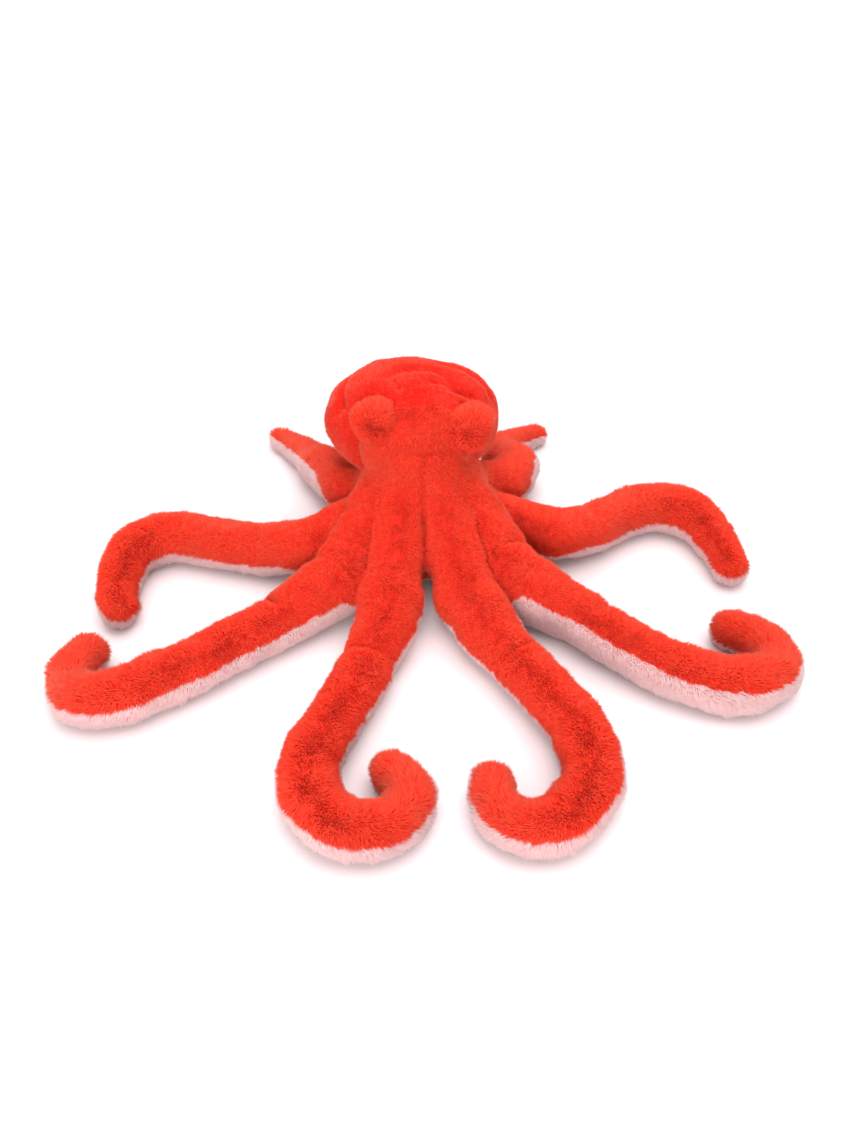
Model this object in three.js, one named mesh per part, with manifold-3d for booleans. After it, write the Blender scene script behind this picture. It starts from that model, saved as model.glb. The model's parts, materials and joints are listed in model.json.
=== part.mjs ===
// A plush octopus that lies on its belly with its eight arms spread out.
//
// Millimetres, +Z up. The origin is the middle of the belly on the floor. The front is -Y, the
// side that the two front arms point to. Left and right are as seen from the front, so the
// right arms and the right eye are on the +X side.
//
// Every arm is a sewn tube: a red cover above, a pink one below and stuffing inside. It swings
// up and down where it leaves the body, and it bends sideways halfway along. The covers stop
// short of each of these two joints, and a ball of stuffing fills the joint.
import * as THREE from 'three';
import { mergeVertices } from 'three/addons/utils/BufferGeometryUtils.js';
import Module from 'manifold-3d';

const wasm = await Module();
wasm.setup();

// ---- Driving dimensions ------------------------------------------------------------------
const ARM_RADIUS = 22;              // over the pressed pile
const COVER = 4;                    // fabric and pressed pile together
const GAP = 0.5;                    // between touching pieces
const CORE_GAP = 1;                 // between an arm's covers and its stuffing
const SEAM_ANGLE = 1.2;             // degrees left open each side of an arm's long seams
const ARM_SIDES = 8;
const TURN_PER_RING = 26;           // degrees of bend between two rings of an arm
const LENGTH_PER_RING = 38;         // and the longest straight stretch between them
const TAPER_LENGTH = 100;           // the last stretch, where an arm thins to its tip radius
const TIP_STOPS = [0.45, 0.8, 1];   // rings of the rounded tip, as shares of the tip radius ahead
const TIP_BLUNTNESS = 0.93;         // how nearly the rounded tip closes to a point
const SMALLEST_TIP = COVER + 1.5;
const ROOT_RISE = 7;                // an arm leaves the body this much above the floor
const RISE_LENGTH = 60;

const JOINT_SETBACK = 8.5;          // from a joint's axis to the covers beside it
const BALL_INSET = 7;               // the joint's ball of stuffing is this much thinner than the arm
const BALL_CLEARANCE = 1;
const BALL_STOPS = [-0.97, -0.6, 0];    // rings of the ball, as shares of its radius ahead

const BODY_HEIGHT = 84;
const BODY_LOBE_HEIGHT = 22;        // height of the arms' axes where the lobes end
const LOBE_CLEARANCE = 18;          // from the end of a lobe to its arm's joint
const LOBE_WIDTH = 35;              // degrees from the ridge of a lobe to its foot
const BELLY_RADIUS = 62;            // away from the lobes
const FOOT_INSET = 12;              // how far the body draws in towards the floor
const NECK_RADIUS = 43;
const NECK = new THREE.Vector3(-6, 15, 92);    // where the head nods on the body
const NECK_BALL = 22;
const NECK_HOLE_GAP = 2;            // round the neck's ball, in the head's cover
const NECK_HOLE_HEIGHT = 60;        // enough to pass through the cover on its underside

const MANTLE_CENTRE = new THREE.Vector3(-14, 52, 101);
const MANTLE_SIZE = new THREE.Vector3(81, 57, 53);      // half width, depth and height
const FACE_CENTRE = new THREE.Vector3(-9, 26, 108);
const FACE_SIZE = new THREE.Vector3(54, 47, 40);
const FACE_SEAM_Y = 8;              // the seam between the face and the mantle
const HEAD_CLEARANCE = 8;           // between the head's underside and the body
const HEAD_SPAN = 200;              // more than the whole head, either side of the face seam

const MOUND_RADIUS = 18;
const EYE_RADIUS = 6;
const EYE_HEIGHT = 3.5;
const POST_RADIUS = 1.8;
const POST_LENGTH = 13;
const WASHER_RADIUS = 5;
const WASHER_THICKNESS = 1.5;
const WASHER_DEPTH = 8;             // from the mound's surface down to the washer
const EYE_SIDES = 12;
const DOME_STEPS = 4;

// An arm leaves the body at azimuth, on a circle of radius reach round the belly's middle, and
// sets off along heading. Its axis is then a chain of arcs, each a length and a turn in degrees,
// to the left if positive. roll turns the long seams about the axis: its first value holds up to
// the arm's middle, and goes over to the second by the tip. bend is the distance along the arm
// to its middle joint.
const ARMS = {
  front_left: {
    azimuth: -107, reach: 120, heading: -92, roll: [0, -20], bend: 155, tipRadius: 17,
    arcs: [[75, -19], [90, -3], [45, 40], [65, 85], [70, 138]],
  },
  front_right: {
    azimuth: -72, reach: 120, heading: -68.5, roll: [0, 20], bend: 140, tipRadius: 17,
    arcs: [[60, 11], [78, 0], [58, -30], [62, -62], [76, -136]],
  },
  side_left: {
    azimuth: -132, reach: 120, heading: -134, roll: [12, 12], bend: 140, tipRadius: 17,
    arcs: [[190, -13], [30, -16], [62, -122], [20, -18]],
  },
  side_right: {
    azimuth: -48, reach: 120, heading: -38, roll: [-30, -18], bend: 130, tipRadius: 17,
    arcs: [[105, -6], [66, 14], [48, 36], [62, 116], [32, 30]],
  },
  wide_left: {
    azimuth: -157, reach: 120, heading: 180, roll: [-12, 0], bend: 100, tipRadius: 16,
    arcs: [[45, -14], [50, -2], [25, 14], [65, 85], [52, 28]],
  },
  wide_right: {
    azimuth: -13, reach: 120, heading: 10, roll: [12, 0], bend: 80, tipRadius: 16,
    arcs: [[40, 24], [35, 0], [30, -24], [60, -78], [52, -14]],
  },
  rear_left: {
    azimuth: 155, reach: 86, heading: 118, roll: [30, 28], bend: 64, tipRadius: 11,
    arcs: [[70, 4], [62, 14]],
  },
  rear_right: {
    azimuth: 32, reach: 86, heading: 50, roll: [-30, -20], bend: 56, tipRadius: 11,
    arcs: [[24, 24], [28, 56], [26, -70], [50, -36]],
  },
};

// ---- Materials ---------------------------------------------------------------------------
const RED_PLUSH = { color: 0xef3c29, roughness: 0.9 };
const PINK_PLUSH = { color: 0xf1b8b9, roughness: 0.9 };
const FIBREFILL = { color: 0xf4f2ee, roughness: 1 };
const BLACK_GLOSS = { color: 0x0a0a0c, roughness: 0.15 };
const WHITE_PLASTIC = { color: 0xe8e6e0, roughness: 0.5 };

const octopus = new THREE.Group();

function add(name, geometry, look, parent = octopus) {
  const mesh = new THREE.Mesh(geometry, new THREE.MeshStandardMaterial({ metalness: 0, ...look }));
  mesh.name = name;
  parent.add(mesh);
  return mesh;
}

// ---- Solids from rings, and booleans -----------------------------------------------------

// A closed solid skinned over rings of equal length, with a fan over each end.
function skin(rings) {
  const size = rings[0].length;
  const points = rings.flat();
  const index = [];
  for (let here = 0; here < points.length - size; here += size) {
    const next = here + size;
    for (let j = 0; j < size; j += 1) {
      const k = (j + 1) % size;
      index.push(here + j, here + k, next + k, here + j, next + k, next + j);
    }
  }
  closeEnd(points, index, 0, size, false);
  closeEnd(points, index, (rings.length - 1) * size, size, true);
  const geometry = new THREE.BufferGeometry().setFromPoints(points);
  geometry.setIndex(index);
  return geometry;
}

function closeEnd(points, index, first, size, last) {
  const centre = new THREE.Vector3();
  for (let j = 0; j < size; j += 1) centre.addScaledVector(points[first + j], 1 / size);
  points.push(centre);
  const tip = points.length - 1;
  for (let j = 0; j < size; j += 1) {
    const a = first + j;
    const b = first + ((j + 1) % size);
    index.push(...(last ? [a, b, tip] : [b, a, tip]));
  }
}

// A C-shaped section has no middle to fan to, so its two ends are closed by strips between the
// outer and the inner row of points. The inner faces split the same way as the stuffing's.
function skinShell(sections) {
  const rows = sections[0].outer.length;
  const size = rows * 2;
  const points = sections.flatMap(({ outer, inner }) => [...outer, ...[...inner].reverse()]);
  const index = [];
  for (let i = 0; i < sections.length - 1; i += 1) {
    for (let j = 0; j < size; j += 1) {
      const a = i * size + j;
      const b = i * size + ((j + 1) % size);
      const inward = j >= rows;
      if (inward) index.push(a, b, a + size, b, b + size, a + size);
      else index.push(a, b, b + size, a, b + size, a + size);
    }
  }
  const lastSection = (sections.length - 1) * size;
  for (let j = 0; j < rows - 1; j += 1) {
    const [a, b, c, d] = [j, j + 1, size - 2 - j, size - 1 - j];
    index.push(b, a, c, a, d, c);
    index.push(...[a, b, c, a, c, d].map((corner) => corner + lastSection));
  }
  const geometry = new THREE.BufferGeometry().setFromPoints(points);
  geometry.setIndex(index);
  return geometry;
}

function toSolid(geometry) {
  const bare = geometry.clone();
  bare.deleteAttribute('normal');
  bare.deleteAttribute('uv');
  const merged = mergeVertices(bare, 1e-4);
  const mesh = new wasm.Mesh({
    numProp: 3,
    vertProperties: new Float32Array(merged.attributes.position.array),
    triVerts: new Uint32Array(merged.index.array),
  });
  return new wasm.Manifold(mesh);
}

function toGeometry(solid) {
  const mesh = solid.getMesh();
  const geometry = new THREE.BufferGeometry();
  geometry.setAttribute('position', new THREE.BufferAttribute(mesh.vertProperties, 3));
  geometry.setIndex(new THREE.BufferAttribute(mesh.triVerts, 1));
  return geometry;
}

// ---- Arms --------------------------------------------------------------------------------

// Points along an arm's axis: distance, place, direction and the turn of its seams.
function armAxis({ azimuth, reach, heading, roll, tipRadius, arcs }) {
  const total = arcs.reduce((sum, [length]) => sum + length, 0);
  const start = THREE.MathUtils.degToRad(azimuth);
  let x = reach * Math.cos(start);
  let y = reach * Math.sin(start);
  let angle = THREE.MathUtils.degToRad(heading);
  const pieces = [];
  let distance = 0;
  for (const [length, turn] of arcs) {
    pieces.push({ from: distance, length, x, y, angle, turn: THREE.MathUtils.degToRad(turn) });
    [x, y, angle] = alongArc(pieces.at(-1), length);
    distance += length;
  }
  return (s) => {
    const piece = pieces.findLast((each) => s >= each.from) ?? pieces[0];
    const [px, py, direction] = alongArc(piece, s - piece.from);
    const taper = THREE.MathUtils.smoothstep(s, total - TAPER_LENGTH, total);
    const radius = THREE.MathUtils.lerp(ARM_RADIUS, tipRadius, taper);
    const sink = THREE.MathUtils.smoothstep(s, 0, RISE_LENGTH);
    return {
      centre: new THREE.Vector3(px, py, radius + ROOT_RISE * (1 - sink)),
      side: new THREE.Vector3(-Math.sin(direction), Math.cos(direction), 0),
      radius,
      roll: THREE.MathUtils.lerp(roll[0], roll[1], THREE.MathUtils.clamp((2 * s) / total - 1, 0, 1)),
    };
  };
}

function alongArc({ x, y, angle, turn, length }, s) {
  const middle = angle + (turn * s) / length / 2;
  const half = (turn * s) / length / 2;
  const chord = Math.abs(half) < 1e-6 ? s : (s * Math.sin(half)) / half;
  return [x + chord * Math.cos(middle), y + chord * Math.sin(middle), angle + 2 * half];
}

// Distances of the rings between two ends, close together where the arm bends.
function ringDistances({ arcs }, from, to) {
  const stops = [from];
  let start = 0;
  for (const [length, turn] of arcs) {
    const end = start + length;
    const first = Math.max(start, from);
    const last = Math.min(end, to);
    if (last - first > 1) {
      const share = (last - first) / length;
      const byTurn = (Math.abs(turn) * share) / TURN_PER_RING;
      const count = Math.max(1, Math.round(Math.max(byTurn, (last - first) / LENGTH_PER_RING)));
      for (let i = 1; i <= count; i += 1) stops.push(first + ((last - first) * i) / count);
    }
    start = end;
  }
  return stops;
}

// Points round the axis from one angle to another, at a radius that may differ from the arm's.
function arcOfPoints(at, radius, fromAngle, toAngle, count) {
  const points = [];
  for (let i = 0; i < count; i += 1) {
    const share = THREE.MathUtils.lerp(fromAngle, toAngle, i / (count - 1));
    const angle = THREE.MathUtils.degToRad(share + at.roll);
    points.push(at.centre.clone()
      .addScaledVector(at.side, radius * Math.cos(angle))
      .add(new THREE.Vector3(0, 0, radius * Math.sin(angle))));
  }
  return points;
}

// A half shell over the arm's axis: the red one covers 0 to 180 degrees, the pink one the rest.
function coverGeometry(axis, distances, firstAngle) {
  const rows = ARM_SIDES / 2 + 1;
  const from = firstAngle + SEAM_ANGLE;
  const to = firstAngle + 180 - SEAM_ANGLE;
  return skinShell(distances.map((s) => {
    const at = axis(s);
    return {
      outer: arcOfPoints(at, at.radius, from, to, rows),
      inner: arcOfPoints(at, at.radius - COVER, from, to, rows),
    };
  }));
}

function fullRing(at, radius) {
  const step = 360 / ARM_SIDES;
  return arcOfPoints(at, radius, 0, 360 - step, ARM_SIDES);
}

// The stuffing: a ball in the joint where it starts, then a core inside the covers.
function coreGeometry(axis, joint, distances) {
  const ballRadius = axis(joint).radius - BALL_INSET;
  const ballStops = [...BALL_STOPS, JOINT_SETBACK / ballRadius];
  const ball = ballStops.map((share) => {
    const at = axis(joint);
    const forward = new THREE.Vector3(at.side.y, -at.side.x, 0);
    at.centre.addScaledVector(forward, share * ballRadius);
    return fullRing(at, ballRadius * Math.sqrt(1 - share * share));
  });
  const core = distances.map((s) => {
    const at = axis(s);
    return fullRing(at, at.radius - COVER - CORE_GAP);
  });
  return skin([...ball, ...core]);
}

// The round end of an arm, as two half shells that close over the core's last ring.
function roundedEnd(total, tipRadius) {
  return TIP_STOPS.map((share) => ({
    ahead: total + tipRadius * share,
    scale: Math.sqrt(1 - (share * TIP_BLUNTNESS) ** 2),
  }));
}

function tipAxis(axis, total, tipRadius) {
  const ends = roundedEnd(total, tipRadius);
  return (s) => {
    if (s <= total) return axis(s);
    const { scale } = ends.find(({ ahead }) => Math.abs(ahead - s) < 1e-6);
    const at = axis(total);
    const forward = new THREE.Vector3(at.side.y, -at.side.x, 0);
    at.centre.addScaledVector(forward, s - total);
    at.radius = Math.max(at.radius * scale, SMALLEST_TIP);
    return at;
  };
}

function addArm(name, arm) {
  const axis = armAxis(arm);
  const total = arm.arcs.reduce((sum, [length]) => sum + length, 0);
  const wholeAxis = tipAxis(axis, total, arm.tipRadius);
  const nearEnd = arm.bend - JOINT_SETBACK;
  const ballEnd = arm.bend - (ARM_RADIUS - BALL_INSET) - BALL_CLEARANCE;
  const farStart = arm.bend + JOINT_SETBACK;

  const baseCore = ringDistances(arm, JOINT_SETBACK, ballEnd);
  const baseCover = [...baseCore, nearEnd];
  const tipCore = ringDistances(arm, farStart, total);
  const tipCover = [...tipCore, ...roundedEnd(total, arm.tipRadius).map(({ ahead }) => ahead)];

  add(`${name}_base_top_cover`, coverGeometry(axis, baseCover, 0), RED_PLUSH);
  add(`${name}_base_under_cover`, coverGeometry(axis, baseCover, 180), PINK_PLUSH);
  add(`${name}_base_stuffing`, coreGeometry(axis, 0, baseCore), FIBREFILL);
  add(`${name}_tip_top_cover`, coverGeometry(wholeAxis, tipCover, 0), RED_PLUSH);
  add(`${name}_tip_under_cover`, coverGeometry(wholeAxis, tipCover, 180), PINK_PLUSH);
  add(`${name}_tip_stuffing`, coreGeometry(axis, arm.bend, tipCore), FIBREFILL);
}

// ---- Body --------------------------------------------------------------------------------
const BODY_POINTS = 36;
const BELLY_RIM = COVER + GAP;                          // the cover starts above the belly panel
const STUFFING_TOP = NECK.z - NECK_BALL - BALL_CLEARANCE;
const BODY_LEVELS = [BELLY_RIM, 13, 26, 40, 55, STUFFING_TOP, BODY_HEIGHT];

// How far the body reaches at an azimuth and a height, as a fluted cone that leans to the neck.
function bodyRing(height, grow, lift = 0) {
  const rise = THREE.MathUtils.smoothstep(height, BODY_LOBE_HEIGHT, BODY_HEIGHT);
  const foot = THREE.MathUtils.smoothstep(height, -BODY_LOBE_HEIGHT, BODY_LOBE_HEIGHT);
  const points = [];
  for (let i = 0; i < BODY_POINTS; i += 1) {
    const azimuth = (i * 360) / BODY_POINTS;
    const lobe = lobeReach(azimuth) - FOOT_INSET * (1 - foot);
    const radius = THREE.MathUtils.lerp(lobe, NECK_RADIUS, rise) + grow;
    const angle = THREE.MathUtils.degToRad(azimuth);
    const lean = THREE.MathUtils.clamp(height / BODY_HEIGHT, 0, 1);
    points.push(new THREE.Vector3(
      radius * Math.cos(angle) + NECK.x * lean,
      radius * Math.sin(angle) + NECK.y * lean,
      height + lift,
    ));
  }
  return points;
}

// The belly reaches BELLY_RADIUS, and a lobe swells out of it towards each arm.
function lobeReach(azimuth) {
  const reaches = Object.values(ARMS).map((arm) => {
    const away = Math.abs(((azimuth - arm.azimuth + 540) % 360) - 180);
    const fall = THREE.MathUtils.degToRad(90 * Math.min(away / LOBE_WIDTH, 1));
    return THREE.MathUtils.lerp(BELLY_RADIUS, arm.reach - LOBE_CLEARANCE, Math.cos(fall) ** 2);
  });
  return Math.max(...reaches);
}

function bodyRings(grow, lift = 0) {
  return BODY_LEVELS.map((height) => bodyRing(height, grow, lift));
}

function addBody() {
  const hollow = bodyRings(-COVER);
  hollow.unshift(hollow[0].map((point) => point.clone().setZ(0)));
  hollow.push(hollow.at(-1).map((point) => point.clone().setZ(2 * BODY_HEIGHT)));
  const cover = toSolid(skin(bodyRings(0))).subtract(toSolid(skin(hollow)));
  add('body_cover', toGeometry(cover), RED_PLUSH);

  const panel = [bodyRing(0, 0), bodyRing(COVER, 0)];
  add('belly_panel', skin(panel), PINK_PLUSH);

  const filling = bodyRings(-COVER - GAP).slice(0, -1);
  add('body_stuffing', skin(filling), FIBREFILL);
}

// ---- Head --------------------------------------------------------------------------------
function ellipsoid(centre, size, shrink) {
  const geometry = new THREE.SphereGeometry(1, 18, 10);
  geometry.rotateX(Math.PI / 2);
  geometry.scale(size.x - shrink, size.y - shrink, size.z - shrink);
  geometry.translate(centre.x, centre.y, centre.z);
  return toSolid(geometry);
}

// The room that the head leaves round the body's top, so that it can nod.
function bodyRoom(grow) {
  return toSolid(skin(bodyRings(grow, NECK.z - BODY_HEIGHT + grow / 2)));
}

function headSolid(shrink) {
  return ellipsoid(MANTLE_CENTRE, MANTLE_SIZE, shrink)
    .add(ellipsoid(FACE_CENTRE, FACE_SIZE, shrink))
    .subtract(bodyRoom(HEAD_CLEARANCE + shrink));
}

function box(size, centre) {
  return toSolid(new THREE.BoxGeometry(size, size, size).translate(centre.x, centre.y, centre.z));
}

function addHead() {
  const holeRadius = NECK_BALL + NECK_HOLE_GAP;
  const neckHole = new THREE.CylinderGeometry(holeRadius, holeRadius, NECK_HOLE_HEIGHT, 16);
  neckHole.rotateX(Math.PI / 2);
  neckHole.translate(NECK.x, NECK.y, NECK.z);
  const shell = headSolid(0).subtract(headSolid(COVER)).subtract(toSolid(neckHole));

  const away = (HEAD_SPAN + GAP) / 2;
  const front = new THREE.Vector3(0, FACE_SEAM_Y - away, HEAD_SPAN / 2);
  const back = new THREE.Vector3(0, FACE_SEAM_Y + away, HEAD_SPAN / 2);
  add('face_cover', toGeometry(shell.intersect(box(HEAD_SPAN, front))), RED_PLUSH);
  add('mantle_cover', toGeometry(shell.intersect(box(HEAD_SPAN, back))), RED_PLUSH);

  const ball = new THREE.SphereGeometry(NECK_BALL, 12, 8).translate(NECK.x, NECK.y, NECK.z);
  const stuffing = headSolid(COVER + GAP).add(toSolid(ball));
  add('head_stuffing', toGeometry(stuffing), FIBREFILL);
}

// ---- Eyes --------------------------------------------------------------------------------
const MOUNDS = {
  left: { centre: new THREE.Vector3(-47, 1, 133), gaze: new THREE.Vector3(-0.85, 0.5, 0.15) },
  right: { centre: new THREE.Vector3(39, -1, 129), gaze: new THREE.Vector3(0.82, 0.57, 0.05) },
};

// A safety eye: a glossy dome, and a post that a washer locks inside the mound. Each is turned
// on a lathe about +Y, from the mound's middle outwards, and then aimed along the gaze.
function aimed(geometry, centre, gaze) {
  const turn = new THREE.Quaternion().setFromUnitVectors(new THREE.Vector3(0, 1, 0), gaze);
  geometry.applyQuaternion(turn);
  geometry.translate(centre.x, centre.y, centre.z);
  return geometry;
}

function eyeGeometry() {
  const foot = MOUND_RADIUS - POST_LENGTH;
  const base = MOUND_RADIUS + GAP;
  const outline = [
    new THREE.Vector2(0, foot),
    new THREE.Vector2(POST_RADIUS, foot),
    new THREE.Vector2(POST_RADIUS, base),
  ];
  for (let i = 0; i < DOME_STEPS; i += 1) {
    const angle = (i * Math.PI) / 2 / DOME_STEPS;
    const height = base + EYE_HEIGHT * Math.sin(angle);
    outline.push(new THREE.Vector2(EYE_RADIUS * Math.cos(angle), height));
  }
  outline.push(new THREE.Vector2(0, base + EYE_HEIGHT));
  return new THREE.LatheGeometry(outline, EYE_SIDES);
}

function washerGeometry() {
  const low = MOUND_RADIUS - WASHER_DEPTH - WASHER_THICKNESS;
  const high = MOUND_RADIUS - WASHER_DEPTH;
  const hole = POST_RADIUS + GAP;
  const corners = [[hole, low], [WASHER_RADIUS, low], [WASHER_RADIUS, high], [hole, high]];
  const outline = [...corners, corners[0]].map(([radius, height]) => new THREE.Vector2(radius, height));
  return new THREE.LatheGeometry(outline, EYE_SIDES);
}

// A round cutter along the gaze, with its middle at a distance from the mound's middle.
function drill(radius, length, middle) {
  return new THREE.CylinderGeometry(radius, radius, length, EYE_SIDES).translate(0, middle, 0);
}

function addEye(side, { centre, gaze }) {
  gaze.normalize();
  const mound = new THREE.SphereGeometry(MOUND_RADIUS, EYE_SIDES, 8);
  const hole = drill(POST_RADIUS + GAP, POST_LENGTH + 4 * GAP, MOUND_RADIUS - POST_LENGTH / 2);
  const pocketMiddle = MOUND_RADIUS - WASHER_DEPTH - WASHER_THICKNESS / 2;
  const pocket = drill(WASHER_RADIUS + GAP, WASHER_THICKNESS + 2 * GAP, pocketMiddle);
  const solid = toSolid(aimed(mound, centre, gaze))
    .subtract(toSolid(aimed(hole, centre, gaze)))
    .subtract(toSolid(aimed(pocket, centre, gaze)))
    .subtract(headSolid(-GAP));
  add(`${side}_eye_mound`, toGeometry(solid), RED_PLUSH);
  add(`${side}_eye`, aimed(eyeGeometry(), centre, gaze), BLACK_GLOSS);
  add(`${side}_eye_washer`, aimed(washerGeometry(), centre, gaze), WHITE_PLASTIC);
}

addBody();
addHead();
Object.entries(MOUNDS).forEach(([side, mound]) => addEye(side, mound));
Object.entries(ARMS).forEach(([name, arm]) => addArm(`${name}_arm`, arm));

export default octopus;
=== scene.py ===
"""Looks of the plush octopus: stuffed fabric skins, and the pile that grows on them as real tufts.

The skins are made first. The arms and the body are one skin, and the head is another, because on
the toy the fabric runs on from one to the next. Cloth simulation fills them out between their
sewn seams. Each skin is then cut into pieces that follow the joints, and each piece grows pile.
"""
import json
import math

import bmesh
import bpy
import numpy as np
from mathutils import Vector
from mathutils.kdtree import KDTree
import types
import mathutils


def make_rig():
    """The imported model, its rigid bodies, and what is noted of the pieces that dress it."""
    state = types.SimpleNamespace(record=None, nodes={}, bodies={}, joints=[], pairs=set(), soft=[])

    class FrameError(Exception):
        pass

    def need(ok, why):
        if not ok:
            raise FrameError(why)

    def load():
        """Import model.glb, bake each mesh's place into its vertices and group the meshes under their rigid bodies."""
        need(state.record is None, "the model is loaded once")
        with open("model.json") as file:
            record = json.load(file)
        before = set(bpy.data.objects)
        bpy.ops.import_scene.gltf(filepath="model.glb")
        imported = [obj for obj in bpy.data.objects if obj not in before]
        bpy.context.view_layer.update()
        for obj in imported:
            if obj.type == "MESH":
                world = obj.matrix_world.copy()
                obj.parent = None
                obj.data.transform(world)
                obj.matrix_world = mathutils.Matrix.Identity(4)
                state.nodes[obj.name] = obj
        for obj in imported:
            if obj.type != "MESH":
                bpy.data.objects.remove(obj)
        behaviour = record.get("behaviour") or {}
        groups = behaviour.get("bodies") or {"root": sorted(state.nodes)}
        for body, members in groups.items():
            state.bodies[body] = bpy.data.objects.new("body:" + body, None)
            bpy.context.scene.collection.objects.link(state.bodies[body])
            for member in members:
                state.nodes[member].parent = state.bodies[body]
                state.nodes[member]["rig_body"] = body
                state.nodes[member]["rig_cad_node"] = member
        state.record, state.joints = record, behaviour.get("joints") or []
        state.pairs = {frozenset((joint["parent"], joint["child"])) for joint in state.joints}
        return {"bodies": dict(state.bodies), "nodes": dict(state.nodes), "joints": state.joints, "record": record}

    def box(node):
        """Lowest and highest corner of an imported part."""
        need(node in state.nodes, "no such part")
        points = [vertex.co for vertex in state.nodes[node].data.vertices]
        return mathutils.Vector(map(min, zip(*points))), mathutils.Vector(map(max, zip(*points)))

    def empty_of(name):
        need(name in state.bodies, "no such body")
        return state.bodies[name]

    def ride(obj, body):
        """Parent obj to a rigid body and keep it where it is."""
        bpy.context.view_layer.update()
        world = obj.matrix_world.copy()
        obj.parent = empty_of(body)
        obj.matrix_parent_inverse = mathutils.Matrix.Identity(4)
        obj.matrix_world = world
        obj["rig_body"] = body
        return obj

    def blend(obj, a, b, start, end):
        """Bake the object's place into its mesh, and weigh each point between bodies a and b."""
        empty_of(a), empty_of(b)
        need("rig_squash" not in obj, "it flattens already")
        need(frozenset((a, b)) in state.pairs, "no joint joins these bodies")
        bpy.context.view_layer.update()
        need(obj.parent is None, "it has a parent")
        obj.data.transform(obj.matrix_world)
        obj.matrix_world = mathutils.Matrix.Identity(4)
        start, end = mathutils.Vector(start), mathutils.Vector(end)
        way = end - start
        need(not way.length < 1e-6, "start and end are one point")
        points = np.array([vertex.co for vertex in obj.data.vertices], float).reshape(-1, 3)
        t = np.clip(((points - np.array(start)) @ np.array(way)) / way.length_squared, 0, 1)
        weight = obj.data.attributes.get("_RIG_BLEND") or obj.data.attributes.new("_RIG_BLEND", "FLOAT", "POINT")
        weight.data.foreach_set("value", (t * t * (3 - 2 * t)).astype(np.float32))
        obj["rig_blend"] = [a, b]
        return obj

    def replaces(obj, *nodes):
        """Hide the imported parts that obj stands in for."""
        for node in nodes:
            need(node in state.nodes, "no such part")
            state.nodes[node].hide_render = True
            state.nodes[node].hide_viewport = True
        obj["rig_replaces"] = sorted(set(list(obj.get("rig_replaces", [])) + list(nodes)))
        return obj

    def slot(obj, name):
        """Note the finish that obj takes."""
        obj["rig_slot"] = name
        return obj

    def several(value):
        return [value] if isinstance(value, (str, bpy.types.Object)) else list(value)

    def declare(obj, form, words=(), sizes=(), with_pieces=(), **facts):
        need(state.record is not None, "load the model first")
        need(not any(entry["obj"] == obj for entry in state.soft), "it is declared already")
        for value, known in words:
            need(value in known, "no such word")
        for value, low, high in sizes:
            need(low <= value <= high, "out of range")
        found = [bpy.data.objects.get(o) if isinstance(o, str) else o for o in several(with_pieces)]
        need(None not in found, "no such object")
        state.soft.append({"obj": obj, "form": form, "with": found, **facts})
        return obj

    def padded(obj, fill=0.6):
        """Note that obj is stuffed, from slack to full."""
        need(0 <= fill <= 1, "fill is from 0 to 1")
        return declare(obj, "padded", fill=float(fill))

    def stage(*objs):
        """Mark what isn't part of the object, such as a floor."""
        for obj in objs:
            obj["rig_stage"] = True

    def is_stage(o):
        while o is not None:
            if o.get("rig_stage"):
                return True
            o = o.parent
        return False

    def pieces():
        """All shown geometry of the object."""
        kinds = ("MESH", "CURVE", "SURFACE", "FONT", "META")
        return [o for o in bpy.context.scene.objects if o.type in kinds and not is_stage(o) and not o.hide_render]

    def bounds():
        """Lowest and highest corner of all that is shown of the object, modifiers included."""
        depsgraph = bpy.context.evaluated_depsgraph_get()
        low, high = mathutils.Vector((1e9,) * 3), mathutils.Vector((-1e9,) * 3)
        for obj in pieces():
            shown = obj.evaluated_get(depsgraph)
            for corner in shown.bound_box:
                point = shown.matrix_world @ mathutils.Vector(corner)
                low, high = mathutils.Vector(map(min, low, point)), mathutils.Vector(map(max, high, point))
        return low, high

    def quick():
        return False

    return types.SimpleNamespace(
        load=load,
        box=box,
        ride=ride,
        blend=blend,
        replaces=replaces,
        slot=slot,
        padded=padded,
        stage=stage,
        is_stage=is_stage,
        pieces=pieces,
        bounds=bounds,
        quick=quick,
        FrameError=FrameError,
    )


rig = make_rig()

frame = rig.load()
CAD_BOX = [list(corner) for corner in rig.bounds()]
JOINTS = {joint["name"]: joint for joint in frame["joints"]}
MM = 0.001

# ---- Driving dimensions ------------------------------------------------------------------
ARM_RADIUS = 22 * MM                # over the pressed pile, as in the CAD model
ROOT_RISE = 7 * MM                  # an arm's axis lies this much higher at its lift joint
RISE_LENGTH = 60 * MM               # and comes down over this length
TAPER_LENGTH = 100 * MM             # the last part of an arm, which thins to its tip
SKIN_DEPTH = 2.5 * MM               # the fabric lies this far inside the CAD surface
VOXEL = 3.5 * MM                    # of the grid on which a skin is joined up

NECK = Vector(JOINTS["head_nod"]["pos_m"])
NECK_REACH = 20 * MM                # the neck bends this far above and below its joint
JOINT_REACH = 18 * MM               # an arm bends this far before and after each joint
ROOT_MARGIN = 2 * MM                # straight fabric between the lift's bend and the piece's edge
MIDDLE_MARGIN = 6 * MM              # and the same past the sideways bend

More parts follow.
